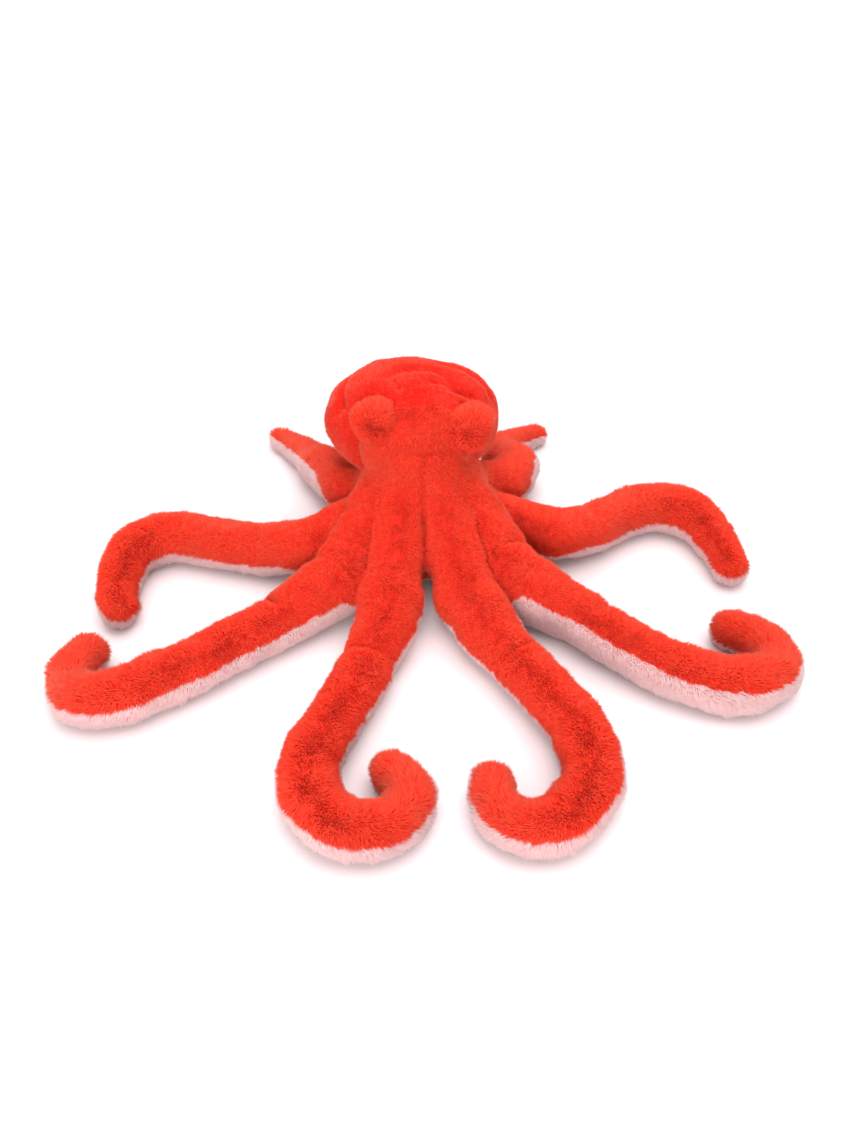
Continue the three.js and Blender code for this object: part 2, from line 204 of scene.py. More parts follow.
# For each arm: the arcs of its axis from the lift joint on, as (length in mm, turn in degrees);
# the turn of its seams up to the middle and at the tip, in degrees; its radius at the tip; its
# fabric's radius where it leaves the body; how far it is drawn to its left there; and where its
# tube ends in the body, as the azimuth from the neck in degrees and the height.
ARMS = {
    "front_left": {
        "arcs": [(75, -19), (90, -3), (45, 40), (65, 85), (70, 138)],
        "roll": (0, -20), "tip": 17, "root": 25, "draw": 2.5, "top": (-124, 72),
    },
    "front_right": {
        "arcs": [(60, 11), (78, 0), (58, -30), (62, -62), (76, -136)],
        "roll": (16, 20), "tip": 17, "root": 25, "draw": -2.5, "top": (-56, 72),
    },
    "side_left": {
        "arcs": [(190, -13), (30, -16), (62, -122), (20, -18)],
        "roll": (12, 12), "tip": 17, "root": 26, "draw": 5, "top": (-172, 66),
    },
    "side_right": {
        "arcs": [(105, -6), (66, 14), (48, 36), (62, 116), (32, 30)],
        "roll": (-30, -18), "tip": 17, "root": 26, "draw": -5, "top": (-8, 66),
    },
    "wide_left": {
        "arcs": [(45, -14), (50, -2), (25, 14), (65, 85), (52, 28)],
        "roll": (-12, 0), "tip": 16, "root": 21, "draw": 0, "top": (172, 26),
    },
    "wide_right": {
        "arcs": [(40, 24), (35, 0), (30, -24), (60, -78), (52, -14)],
        "roll": (12, 0), "tip": 16, "root": 20, "draw": -2, "top": (8, 26),
    },
    "rear_left": {
        "arcs": [(70, 4), (62, 14)],
        "roll": (30, 28), "tip": 11, "root": 20, "draw": 0, "top": (150, 36),
    },
    "rear_right": {
        "arcs": [(24, 24), (28, 56), (26, -70), (50, -36)],
        "roll": (-30, -20), "tip": 11, "root": 21, "draw": 0, "top": (30, 44),
    },
}
STEP = 3 * MM                       # between samples of an arm's axis
ROOT_LENGTH = 95 * MM               # how far an arm's tube runs on up the body towards the neck
NECK_TOP = 28 * MM                  # from the neck's middle to the tubes' upper ends
DRAW_REACH = 70 * MM                # how far along an arm its drawing to one side is felt
FLUTE_RADIUS = 20 * MM              # of the tubes at the neck
THINNING_START = 40 * MM            # how far inside the body the tubes start to thin to that
FLUTE_CLIMB = 1.7                   # above 1, the tubes climb slowly at first and then steeply
ROOT_SWELL = (8 * MM, 90 * MM)      # where along an arm its thicker root starts and stops to thin

# The body between the flutes, as (height, radius) in mm.
BODY_CORE = [(5, 52), (14, 72), (30, 72), (45, 64), (58, 58), (72, 51), (90, 43), (112, 36)]
FLUTE_SEAM = 5 * MM                 # depth of the seams between the flutes
FLUTE_SEAM_WIDTH = 3.5 * MM
FRONT_SEAM = 4 * MM                 # depth of the seam down the front
FRONT_SEAM_X = -3 * MM
FLUTE_TOP = (75 * MM, 45 * MM)      # heights between which the flutes' seams deepen downwards
FLUTE_FOOT = (15 * MM, 40 * MM)     # heights between which they deepen upwards from the floor
FLUTE_OUT = (5 * MM, -25 * MM)      # and the distances along an arm between which they deepen inwards
VALLEY_END = 39 * MM                # the flutes are told apart up to this far out along the arms

# Puckers where the side arms fold over the body: the arm, the distance along it in mm and the
# angle round it in degrees, from its left side over its top.
PUCKERS = [
    ("side_left", -26, 70), ("side_left", 2, 40), ("side_left", 64, 110),
    ("side_right", -22, 110), ("side_right", 10, 130), ("side_right", 80, 80),
    ("front_left", 70, 100), ("front_right", 78, 60), ("wide_right", 30, 90), ("wide_left", 36, 80),
]
PUCKER_DEPTH = 3.5 * MM
PUCKER_WIDTH = 4 * MM               # along the arm
PUCKER_REACH = 16 * MM              # round the arm

MANTLE_CENTRE = Vector((-14, 52, 101)) * MM
MANTLE_SIZE = Vector((81, 57, 54)) * MM         # half width, depth and height
MANTLE_FULLNESS = 2.15              # above 2, the mantle is boxier than an ellipsoid
FACE_CENTRE = Vector((-12, 26, 107)) * MM
FACE_SIZE = Vector((56, 46, 41)) * MM
FACE_FULLNESS = 2.6
FACE_SEAM_Y = 8 * MM
FOLD_WIDTH = 4.5 * MM
FOLD_DEPTH = 6.5 * MM
CREASE_WIDTH = 5 * MM               # of the crease between the face and the mantle
CREASE_DEPTH = 7 * MM
CREASE_TOP = 132 * MM               # the crease fades out above this height

# Folds in the mantle, as points across its top: shares of its half width and half depth.
MANTLE_FOLDS = [
    [(-0.27, -0.1), (-0.15, 0.06), (0.15, 0.02), (0.35, -0.09), (0.44, -0.22)],
    [(0.22, -0.26), (0.36, -0.25), (0.45, -0.34), (0.64, -0.35)],
    [(0.3, 0.34), (0.6, 0.3), (0.82, 0.12), (0.94, -0.1)],
    [(-0.2, -0.2), (-0.14, -0.4)],
    [(-0.74, 0.2), (-0.8, -0.1), (-0.78, -0.36)],
]

# The left mound stands out as a ball. The right one is flatter and runs into the face.
MOUNDS = {
    "left": {"centre": Vector((-47, 1, 134)) * MM, "size": Vector((16, 15.5, 15.5)) * MM},
    "right": {"centre": Vector((40, -1, 129)) * MM, "size": Vector((19, 16.5, 17)) * MM},
}
HOLD_WIDTH = 3 * MM                 # the skins are held this near to a fold or a valley
SEAM_HOLD = 2.5 * MM                # and this near to an arm's seams
STUFFING_FRAMES = 20                # how long the cloth is simulated
SWELL = 3 * MM                      # how far the stuffing may push a skin out
BODY_LUMPS = (38 * MM, 1.1 * MM)    # the stuffing's lumps on the body and arms: spacing and height
HEAD_LUMPS = (42 * MM, 1.0 * MM)    # and on the head

MOUND_REACH = 2.5 * MM              # how far the right mound's pile spreads on to the face
MOUND_COMB = Vector((0.4, 0.2, 0.8))            # the mounds' pile is stroked upwards
HEAD_CROWN = Vector((-14, 15, 165)) * MM        # the rest of the head's pile lies away from here
EYE_RING = 6.5 * MM                 # no pile grows this near to the middle of an eye

TUFT_WIDTH = (1.725 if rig.quick() else 1.058) * MM
TUFTS_PER_MM2 = 0.5 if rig.quick() else 1.7
ROOT_DEPTH = 0.5 * MM               # how deep in the fabric a tuft starts
LEAN = 0.6                          # how far the pile lies over along its comb direction
LEAN_PATCH = 24 * MM                # over this length it lies over more, then less
SWIRL = 0.16                        # how far it strays sideways from its comb direction
SWIRL_PATCH = 18 * MM               # and over what length
CLUMP = 0.12                        # how far neighbouring tufts draw together
CLUMP_PATCH = 6 * MM                # and over what length
LOOSE = 0.12                        # how far each tuft strays on its own
DROOP = 0.6                         # how much the arms' pile hangs rather than points to the tip
FALL = 50 * MM                      # the body's pile points down by this, against its way outwards
TURN_START = -60 * MM               # from here, up the body, the pile starts to turn along an arm
BELLY_SLOPE = -0.6                  # the body is pink where its normal points down more than this
CROTCH_REACH = 24 * MM              # how far out along the arms that rule is felt
SEAM_COVER = 0.1                    # how far above the seam the red fabric starts, as a sine
SEAM_WANDER = 0.04                  # how far the edge of the red wanders, as a sine
WANDER_LENGTH = 12 * MM             # and over what length
FAR = 1.0                           # metres; further off than anything on the toy
FLOOR_GAP = 0.4 * MM                # nothing reaches lower than this
SHADES = 4                          # shades of each pile colour
PILE_LENGTHS = {
    "body": 4.5 * MM, "mantle": 3.5 * MM, "mound": 7 * MM, "root": 5 * MM, "middle": 6 * MM, "tip": 7 * MM,
}
PILE_TONE = 0.6                     # from 0, all the deepest shade, to 1, all the palest
MANTLE_PAINTED_SHADE_TONE = 0.15                  # the mantle's pile takes deeper shades: painted shade, for the mantle lying darker in the light than the body


# ---- Small helpers -----------------------------------------------------------------------
def smoothstep(value, low, high):
    t = np.clip((value - low) / (high - low), 0, 1)
    return t * t * (3 - 2 * t)


def unit(vectors):
    length = np.linalg.norm(vectors, axis=-1, keepdims=True)
    return vectors / np.maximum(length, 1e-12)


def dot(a, b):
    return np.einsum("ij,ij->i", a, b)


def add_object(name, mesh):
    piece = bpy.data.objects.new(name, mesh)
    bpy.context.scene.collection.objects.link(piece)
    return piece


def new_object(name, points, faces):
    mesh = bpy.data.meshes.new(name)
    mesh.from_pydata([tuple(point) for point in points], [], faces)
    mesh.update()
    return add_object(name, mesh)


def mesh_points(piece):
    points = np.empty(len(piece.data.vertices) * 3)
    piece.data.vertices.foreach_get("co", points)
    return points.reshape(-1, 3)


def mesh_normals(piece):
    normals = np.empty(len(piece.data.vertices) * 3)
    piece.data.vertex_normals.foreach_get("vector", normals)
    return normals.reshape(-1, 3)


def mesh_triangles(piece):
    piece.data.calc_loop_triangles()
    triangles = np.empty(len(piece.data.loop_triangles) * 3, dtype=np.int64)
    piece.data.loop_triangles.foreach_get("vertices", triangles)
    return triangles.reshape(-1, 3)


def set_points(piece, points):
    piece.data.vertices.foreach_set("co", points.ravel())
    piece.data.update()


def apply_modifiers(piece):
    bpy.context.view_layer.update()
    graph = bpy.context.evaluated_depsgraph_get()
    mesh = bpy.data.meshes.new_from_object(piece.evaluated_get(graph))
    piece.modifiers.clear()
    piece.data = mesh


def smooth_noise(points, scale, seed):
    """Soft noise between about -1 and 1: a sum of sine waves in random directions."""
    rng = np.random.default_rng(seed)
    waves = 9
    total = np.zeros(len(points))
    for _ in range(waves):
        direction = unit(rng.normal(size=3))
        frequency = 2 * math.pi / (scale * rng.uniform(0.7, 1.6))
        total += np.sin(points @ direction * frequency + rng.uniform(0, 2 * math.pi))
    return total / math.sqrt(waves)


# ---- Arm axes ----------------------------------------------------------------------------
class Axis:
    """An arm's axis, sampled every STEP from the neck to the tip. s is 0 at the lift joint."""

    def __init__(self, name, arcs, roll, tip, root, draw, top):
        lift = JOINTS[f"{name}_arm_lift"]
        heading = math.atan2(lift["axis"][0], -lift["axis"][1])
        self.name = name
        self.total = sum(length for length, _ in arcs) * MM
        self.s = np.arange(-ROOT_LENGTH, self.total + STEP / 2, STEP)
        plan, headings = self.walk(lift["pos_m"], heading, arcs)
        taper = smoothstep(self.s, self.total - TAPER_LENGTH, self.total)
        outer = ARM_RADIUS + (tip * MM - ARM_RADIUS) * taper
        rise = ROOT_RISE * (1 - smoothstep(self.s, 0, RISE_LENGTH))
        self.centre = np.c_[plan, outer + rise]
        self.climb(top)
        self.tangent = unit(np.gradient(self.centre, axis=0))
        level = np.c_[-np.sin(headings), np.cos(headings), np.zeros_like(headings)]
        near_root = smoothstep(np.abs(self.s), DRAW_REACH, 0)[:, None]
        self.centre += level * near_root * draw * MM
        self.side = unit(level - dot(level, self.tangent)[:, None] * self.tangent)
        self.up = np.cross(self.tangent, self.side)
        swell = (root * MM - (ARM_RADIUS - SKIN_DEPTH)) * (1 - smoothstep(self.s, *ROOT_SWELL))
        self.radius = outer - SKIN_DEPTH + swell
        to_neck = smoothstep(-self.s, THINNING_START, ROOT_LENGTH)
        self.radius += (FLUTE_RADIUS - self.radius) * to_neck
        self.roll = np.radians(np.interp(self.s, [self.total / 2, self.total], roll))
        bend_at = np.array(JOINTS[f"{name}_arm_bend"]["pos_m"])
        self.bend = self.s[np.argmin(np.linalg.norm(self.centre - bend_at, axis=1))]

    def walk(self, start, heading, arcs):
        """The plan view: place and heading of each sample past the lift joint."""
        plan, headings = [], []
        ends = np.cumsum([length for length, _ in arcs]) * MM
        for s in self.s:
            x, y, angle = start[0], start[1], heading
            for (length, turn), end in zip(arcs, ends):
                length *= MM
                run = min(max(s - (end - length), 0), length)
                half = math.radians(turn) * run / length / 2
                chord = run if abs(half) < 1e-9 else run * math.sin(half) / half
                x += chord * math.cos(angle + half)
                y += chord * math.sin(angle + half)
                angle += 2 * half
            plan.append((x, y))
            headings.append(angle)
        return np.array(plan), np.array(headings)

    def climb(self, top):
        """Inside the body the axis climbs towards the neck, slowly at first, as a flute."""
        azimuth, height = math.radians(top[0]), top[1] * MM
        x = NECK.x + NECK_TOP * math.cos(azimuth)
        y = NECK.y + NECK_TOP * math.sin(azimuth)
        inside = self.s < 0
        foot = self.centre[~inside][0]
        rise = np.array((x, y, height)) - foot
        share = -self.s[inside] / ROOT_LENGTH
        self.centre[inside, :2] = foot[:2] + rise[:2] * share[:, None]
        self.centre[inside, 2] = foot[2] + rise[2] * share ** FLUTE_CLIMB

    def sample(self, s):
        return np.argmin(np.abs(self.s - s))

    def reach_points(self, s):
        """The points JOINT_REACH before and after a joint, along the arm."""
        middle = Vector(self.centre[self.sample(s)])
        reach = Vector(self.tangent[self.sample(s)]) * JOINT_REACH
        return middle - reach, middle + reach


AXES = [Axis(name, **arm) for name, arm in ARMS.items()]


# ---- Raw shapes --------------------------------------------------------------------------
def ring_faces(rings, sides):
    faces = [tuple(range(sides))[::-1]]
    for i in range(rings - 1):
        for k in range(sides):
            n = (k + 1) % sides
            faces.append((i * sides + k, i * sides + n, (i + 1) * sides + n, (i + 1) * sides + k))
    faces.append(tuple((rings - 1) * sides + k for k in range(sides)))
    return faces


def tube(axis):
    """A tube round an arm's axis, with a rounded end."""
    sides = 24
    rings = list(zip(axis.centre, axis.radius))
    end, radius = rings[-1]
    for share in (0.4, 0.7, 0.9, 0.99):
        rings.append((end + axis.tangent[-1] * radius * share, radius * math.sqrt(1 - share ** 2)))
    points = []
    for i, (centre, radius) in enumerate(rings):
        i = min(i, len(axis.s) - 1)
        for k in range(sides):
            angle = 2 * math.pi * k / sides
            points.append(centre + radius * (math.cos(angle) * axis.side[i] + math.sin(angle) * axis.up[i]))
    return new_object(f"{axis.name}_tube", points, ring_faces(len(rings), sides))


def body_core():
    """The body between the arms' flutes: a cone that leans back to the neck."""
    sides = 48
    points = []
    for height, radius in BODY_CORE:
        lean = min(height * MM / NECK.z, 1)
        for k in range(sides):
            angle = 2 * math.pi * k / sides
            points.append((
                NECK.x * lean + radius * MM * math.cos(angle),
                NECK.y * lean + radius * MM * math.sin(angle),
                height * MM,
            ))
    return new_object("body_core", points, ring_faces(len(BODY_CORE), sides))


def ellipsoid(name, centre, size, fullness=2.0):
    """An ellipsoid, or a boxier solid if fullness is above 2."""
    segments, rows = 48, 24
    points = []
    for i in range(1, rows):
        polar = math.pi * i / rows
        for k in range(segments):
            angle = 2 * math.pi * k / segments
            outward = np.array((
                math.sin(polar) * math.cos(angle),
                math.sin(polar) * math.sin(angle),
                -math.cos(polar),
            ))
            outward /= (np.abs(outward) ** fullness).sum() ** (1 / fullness)
            points.append(np.array(centre) + outward * np.array(size))
    return new_object(name, points, ring_faces(rows - 1, segments))


def join(name, parts):
    """One object of all the parts, which may pass through each other."""
    mesh = bmesh.new()
    for part in parts:
        mesh.from_mesh(part.data)
        bpy.data.objects.remove(part)
    bmesh.ops.recalc_face_normals(mesh, faces=mesh.faces)
    whole = bpy.data.meshes.new(name)
    mesh.to_mesh(whole)
    mesh.free()
    return add_object(name, whole)


def remesh(piece, smoothing):
    """One even skin over the piece, with its creases softened."""
    modifier = piece.modifiers.new("remesh", "REMESH")
    modifier.mode = "VOXEL"
    modifier.voxel_size = VOXEL
    soften(piece, smoothing)


def soften(piece, times):
    """Smooths the piece that many times, and applies all its modifiers."""
    modifier = piece.modifiers.new("soften", "SMOOTH")
    modifier.factor = 0.5
    modifier.iterations = times
    apply_modifiers(piece)


# ---- Stuffing: cloth under pressure, held at the seams -----------------------------------
def stuff(piece, held):
    """Fills the skin out between its held seams. No point moves further than SWELL."""
    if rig.quick():
        return
    start = mesh_points(piece)
    group = piece.vertex_groups.new(name="seams")
    group.add([int(i) for i in np.flatnonzero(held)], 1.0, "REPLACE")
    cloth = piece.modifiers.new("stuffing", "CLOTH")
    cloth.settings.quality = 4
    cloth.settings.mass = 0.3
    cloth.settings.tension_stiffness = 12
    cloth.settings.compression_stiffness = 12
    cloth.settings.shear_stiffness = 6
    cloth.settings.bending_stiffness = 0.4
    cloth.settings.vertex_group_mass = "seams"
    cloth.settings.use_pressure = True
    cloth.settings.uniform_pressure_force = 4
    cloth.settings.effector_weights.gravity = 0
    cloth.collision_settings.use_collision = False
    for number in range(1, STUFFING_FRAMES + 1):
        bpy.context.scene.frame_set(number)
    graph = bpy.context.evaluated_depsgraph_get()
    swollen = np.empty(len(start) * 3)
    piece.evaluated_get(graph).data.vertices.foreach_get("co", swollen)
    moved = swollen.reshape(-1, 3) - start
    distance = np.linalg.norm(moved, axis=1, keepdims=True)
    capped = start + moved * np.minimum(1, SWELL / np.maximum(distance, 1e-9))
    piece.modifiers.clear()
    piece.vertex_groups.clear()
    set_points(piece, capped)
    bpy.context.scene.frame_set(1)
    soften(piece, 5)


# ---- Where a point lies on an arm --------------------------------------------------------
class ArmMap:
    """For each point: its nearest arm, the distance along that arm and the angle round it."""

    def __init__(self, points):
        owners = [(number, i) for number, axis in enumerate(AXES) for i in range(len(axis.s))]
        tree = KDTree(len(owners))
        for k, (number, i) in enumerate(owners):
            tree.insert(AXES[number].centre[i], k)
        tree.balance()
        owners = np.array(owners)
        nearest = np.array([tree.find(point)[1] for point in points])
        self.arm = owners[nearest, 0]
        self.s = np.empty(len(points))
        self.angle = np.empty(len(points))
        self.tangent = np.empty((len(points), 3))
        for number, axis in enumerate(AXES):
            mine = np.flatnonzero(self.arm == number)
            i = owners[nearest[mine], 1]
            offset = points[mine] - axis.centre[i]
            self.s[mine] = axis.s[i] + dot(offset, axis.tangent[i])
            self.angle[mine] = np.arctan2(dot(offset, axis.up[i]), dot(offset, axis.side[i])) - axis.roll[i]
            self.tangent[mine] = axis.tangent[i]


def valley_distance(points):
    """How much further away the second nearest arm's axis is: small between two flutes."""
    away = []
    for axis in AXES:
        spots = axis.centre[axis.s < VALLEY_END][::2]
        away.append(np.min([np.linalg.norm(points - spot, axis=1) for spot in spots], axis=0))
    away = np.sort(away, axis=0)
    return away[1] - away[0]


# ---- Skins -------------------------------------------------------------------------------
def body_skin():
    skin = join("body_skin", [body_core(), *(tube(axis) for axis in AXES)])
    remesh(skin, smoothing=3)
    points = mesh_points(skin)
    spacing, height = BODY_LUMPS
    lumps = smooth_noise(points, spacing, seed=3) * height
    set_points(skin, points + mesh_normals(skin) * lumps[:, None])
    arm_map = ArmMap(points)
    on_arm = arm_map.s > 0
    seam = on_arm & (np.abs(np.sin(arm_map.angle)) * ARM_RADIUS < SEAM_HOLD)
    valley = valley_distance(points)
    stuff(skin, seam | (~on_arm & (valley < HOLD_WIDTH)))
    depth = flute_depth(points, arm_map, valley) + pucker_depth(arm_map)
    points = mesh_points(skin) - mesh_normals(skin) * depth[:, None]
    points[:, 2] = np.maximum(points[:, 2], SKIN_DEPTH)
    set_points(skin, points)
    return skin


def flute_depth(points, arm_map, valley):
    """The seams between the flutes fade out up the body, but the front one runs to the neck."""
    height = points[:, 2]
    depth = FLUTE_SEAM * np.exp(-((valley / FLUTE_SEAM_WIDTH) ** 2)) * smoothstep(height, *FLUTE_TOP)
    across = np.abs(points[:, 0] - FRONT_SEAM_X) / FLUTE_SEAM_WIDTH
    front = FRONT_SEAM * np.exp(-across ** 2) * (points[:, 1] < NECK.y)
    depth = np.maximum(depth, front)
    return depth * smoothstep(arm_map.s, *FLUTE_OUT) * smoothstep(height, *FLUTE_FOOT)


def pucker_depth(arm_map):
    depth = np.zeros(len(arm_map.s))
    for name, s, angle in PUCKERS:
        number = [axis.name for axis in AXES].index(name)
        along = (arm_map.s - s * MM) / PUCKER_WIDTH
        around = (arm_map.angle - math.radians(angle)) * ARM_RADIUS / PUCKER_REACH
        depth += (arm_map.arm == number) * PUCKER_DEPTH * np.exp(-along ** 2 - around ** 2)
    return depth


def fold_distance(points):
    """Distance from each point to the nearest fold of the mantle."""
    nearest = np.full(len(points), FAR)
    for fold in MANTLE_FOLDS:
        for (x0, y0), (x1, y1) in zip(fold, fold[1:]):
            for share in np.linspace(0, 1, 8):
                x, y = x0 + (x1 - x0) * share, y0 + (y1 - y0) * share
                height = math.sqrt(max(1 - x * x - y * y, 0.02))
                spot = np.array(MANTLE_CENTRE) + np.array((x, y, height)) * np.array(MANTLE_SIZE)
                nearest = np.minimum(nearest, np.linalg.norm(points - spot, axis=1))
    return nearest


def face_crease_distance(points):
    """Distance from each point to where the face meets the mantle, below the mounds."""
    to_mantle, to_face = (
        (np.abs((points - np.array(centre)) / np.array(size)) ** fullness).sum(axis=1) ** (1 / fullness)
        for centre, size, fullness in (
            (MANTLE_CENTRE, MANTLE_SIZE, MANTLE_FULLNESS), (FACE_CENTRE, FACE_SIZE, FACE_FULLNESS),
        )
    )
    away = np.abs(to_mantle - to_face) * FACE_SIZE.x
    return away + np.maximum(points[:, 2] - CREASE_TOP, 0)


def head_skin():
    inset = Vector((1, 1, 1)) * SKIN_DEPTH
    skin = join("head_skin", [
        ellipsoid("mantle", MANTLE_CENTRE, MANTLE_SIZE - inset, MANTLE_FULLNESS),
        ellipsoid("face", FACE_CENTRE, FACE_SIZE - inset, FACE_FULLNESS),
        ellipsoid("mound", **MOUNDS["right"]),
    ])
    remesh(skin, smoothing=3)
    points = mesh_points(skin)
    spacing, height = HEAD_LUMPS
    lumps = smooth_noise(points, spacing, seed=5) * height
    set_points(skin, points + mesh_normals(skin) * lumps[:, None])
    fold, crease = fold_distance(points), face_crease_distance(points)
    stuff(skin, np.minimum(fold, crease) < HOLD_WIDTH)
    dent = np.maximum(
        FOLD_DEPTH * np.exp(-((fold / FOLD_WIDTH) ** 2)),
        CREASE_DEPTH * np.exp(-((crease / CREASE_WIDTH) ** 2)),
    )
    set_points(skin, mesh_points(skin) - mesh_normals(skin) * dent[:, None])
    return skin


# ---- Cutting a skin into pieces ----------------------------------------------------------
class Patch:
    """Some triangles of a skin, with what their pile needs: place, normal and comb direction.

    Where colours meet, side is above 0 on the patch's own side of the seam. Its pile is sown up
    to the seam itself, and its fabric is cut along the edges of the triangles nearest the seam.
    """

    def __init__(self, name, points, normals, triangles, comb, side=None):
        if side is None:
            side = np.ones(len(points))
        triangles = triangles[(side[triangles] > 0).any(axis=1)]
        used, index = np.unique(triangles, return_inverse=True)
        self.name = name
        self.points = points[used]
        self.normals = normals[used]
        self.comb = comb[used]
        self.side = side[used]
        self.triangles = index.reshape(-1, 3)

    def fabric(self, material):
        own = self.triangles[self.side[self.triangles].mean(axis=1) > 0]
        used, index = np.unique(own, return_inverse=True)
        piece = new_object(self.name, self.points[used], [tuple(map(int, t)) for t in index.reshape(-1, 3)])
        piece.data.materials.append(material)
        piece.data.polygons.foreach_set("use_smooth", [True] * len(piece.data.polygons))
        return piece

    def scatter(self, per_mm2, rng):
        """Even random spots on the patch's side: place, normal and comb direction of each."""
        a, b, c = (self.points[self.triangles[:, k]] for k in range(3))
        areas = np.linalg.norm(np.cross(b - a, c - a), axis=1) / 2
        count = int(areas.sum() / MM ** 2 * per_mm2)
        strata = (np.arange(count) + rng.random(count)) / count
        picks = np.minimum(np.searchsorted(np.cumsum(areas) / areas.sum(), strata), len(areas) - 1)
        u, v = rng.random((2, count))
        flip = u + v > 1
        u[flip], v[flip] = 1 - u[flip], 1 - v[flip]
        weights = np.c_[1 - u - v, u, v][:, :, None]
        corners = self.triangles[picks]
        own = (self.side[corners] * weights[:, :, 0]).sum(axis=1) > 0
        fields = (self.points, self.normals, self.comb)
        return [(values[corners] * weights).sum(axis=1)[own] for values in fields]


# ---- Pile --------------------------------------------------------------------------------
def tuft_directions(roots, normals, comb, rng):
    flat = comb - dot(comb, normals)[:, None] * normals
    across = np.cross(normals, flat)
    sway = smooth_noise(roots, SWIRL_PATCH, seed=11)[:, None] * SWIRL
    lay = LEAN * (1 + 0.1 * smooth_noise(roots, LEAN_PATCH, seed=12)[:, None])
    clump = np.c_[[smooth_noise(roots, CLUMP_PATCH, seed) for seed in (21, 22, 23)]].T * CLUMP
    loose = rng.normal(scale=LOOSE, size=roots.shape)
    return unit(normals + flat * lay + across * sway + clump + loose)


def tuft_mesh(name, roots, directions, lengths, widths, shade):
    """Three-sided tufts that come to a point. Each is closed."""
    count = len(roots)
    level = np.where(np.abs(directions[:, 2:]) > 0.9, [[1.0, 0, 0]], [[0, 0, 1.0]])
    side = unit(np.cross(directions, level))
    other = np.cross(directions, side)
    vertices = np.empty((count, 4, 3))
    for k in range(3):
        turn = 2 * math.pi * k / 3
        spoke = math.cos(turn) * side + math.sin(turn) * other
        vertices[:, k] = roots + spoke * (widths * 0.5)[:, None]
    vertices[:, 3] = roots + directions * lengths[:, None]
    vertices[:, :, 2] = np.maximum(vertices[:, :, 2], FLOOR_GAP)
    corners = np.array([(2, 1, 0), (0, 1, 3), (1, 2, 3), (2, 0, 3)])
    faces = (corners[None] + (np.arange(count) * 4)[:, None, None]).reshape(-1)
    mesh = bpy.data.meshes.new(name)
    mesh.vertices.add(count * 4)
    mesh.vertices.foreach_set("co", vertices.ravel())
    mesh.loops.add(len(faces))
    mesh.loops.foreach_set("vertex_index", faces.astype(np.int32))
    mesh.polygons.add(len(faces) // 3)
    mesh.polygons.foreach_set("loop_start", np.arange(0, len(faces), 3, dtype=np.int32))
    mesh.polygons.foreach_set("material_index", np.repeat(shade, 4).astype(np.int32))
    mesh.update(calc_edges=True)
    mesh.polygons.foreach_set("use_smooth", [True] * len(mesh.polygons))
    return add_object(name, mesh)


def grow_pile(patch, materials, length, tone, bare=None):
    """The pile of a patch. bare tells which spots grow none, such as those under an eye."""
    rng = np.random.default_rng(sum(map(ord, patch.name)))
    roots, normals, comb = patch.scatter(TUFTS_PER_MM2, rng)
    if bare is not None:
        keep = ~bare(roots)
        roots, normals, comb = roots[keep], normals[keep], comb[keep]
    normals = unit(normals)
    directions = tuft_directions(roots, normals, comb, rng)
    uneven = 1 + 0.12 * smooth_noise(roots, 12 * MM, seed=13)
    lengths = length * rng.uniform(0.8, 1.15, len(roots)) * uneven
    widths = TUFT_WIDTH * rng.uniform(0.8, 1.2, len(roots))
    grain = 0.1 * smooth_noise(roots, 5 * MM, seed=14) + rng.normal(scale=0.2, size=len(roots))
    # tone sets the pile's mean shade; the mantle's lower tone is painted shade
    shade = np.clip(((tone + grain) * SHADES).astype(int), 0, SHADES - 1)
    pile = tuft_mesh(f"{patch.name}_pile", roots - normals * ROOT_DEPTH, directions, lengths, widths, shade)
    for material in materials:
        pile.data.materials.append(material)
    return pile


# ---- Materials ---------------------------------------------------------------------------
def principled(name):
    material = bpy.data.materials.new(name)
    material.use_nodes = True
    return material, material.node_tree.nodes["Principled BSDF"]


def noise_input(material, scale, detail=2.0):
    """A noise texture in the object's own coordinates; returns its factor."""
    nodes, links = material.node_tree.nodes, material.node_tree.links
    place = nodes.new("ShaderNodeTexCoord")
    noise = nodes.new("ShaderNodeTexNoise")
    noise.inputs["Scale"].default_value = scale
    noise.inputs["Detail"].default_value = detail
    links.new(place.outputs["Object"], noise.inputs["Vector"])
    return noise.outputs["Fac"]


def ranged(material, factor, low, high, socket):
    """Feeds a factor, spread from low to high, to one of the shader's sockets."""
    spread = material.node_tree.nodes.new("ShaderNodeMapRange")
    spread.inputs["From Min"].default_value = 0.3
    spread.inputs["From Max"].default_value = 0.7
    spread.inputs["To Min"].default_value = low
    spread.inputs["To Max"].default_value = high
    material.node_tree.links.new(factor, spread.inputs["Value"])
    material.node_tree.links.new(spread.outputs["Result"], socket)


def pile_shades(name, deep, pale, sheen):
    """The shades of one colour of pile. Their sheen comes and goes over the toy, as it is stroked."""
    materials = []
    for i in range(SHADES):
        share = i / (SHADES - 1)
        material, shader = principled(f"{name}_{i + 1}")
        colour = [a + (b - a) * share for a, b in zip(deep, pale)]
        shader.inputs["Base Color"].default_value = (*colour, 1)
        shader.inputs["Roughness"].default_value = 0.7
        shader.inputs["Specular IOR Level"].default_value = 0.2
        shader.inputs["Sheen Roughness"].default_value = 0.5
        shader.inputs["Sheen Tint"].default_value = (*sheen, 1)
        ranged(material, noise_input(material, 40), 0.5, 0.8, shader.inputs["Sheen Weight"])
        materials.append(material)
    return materials


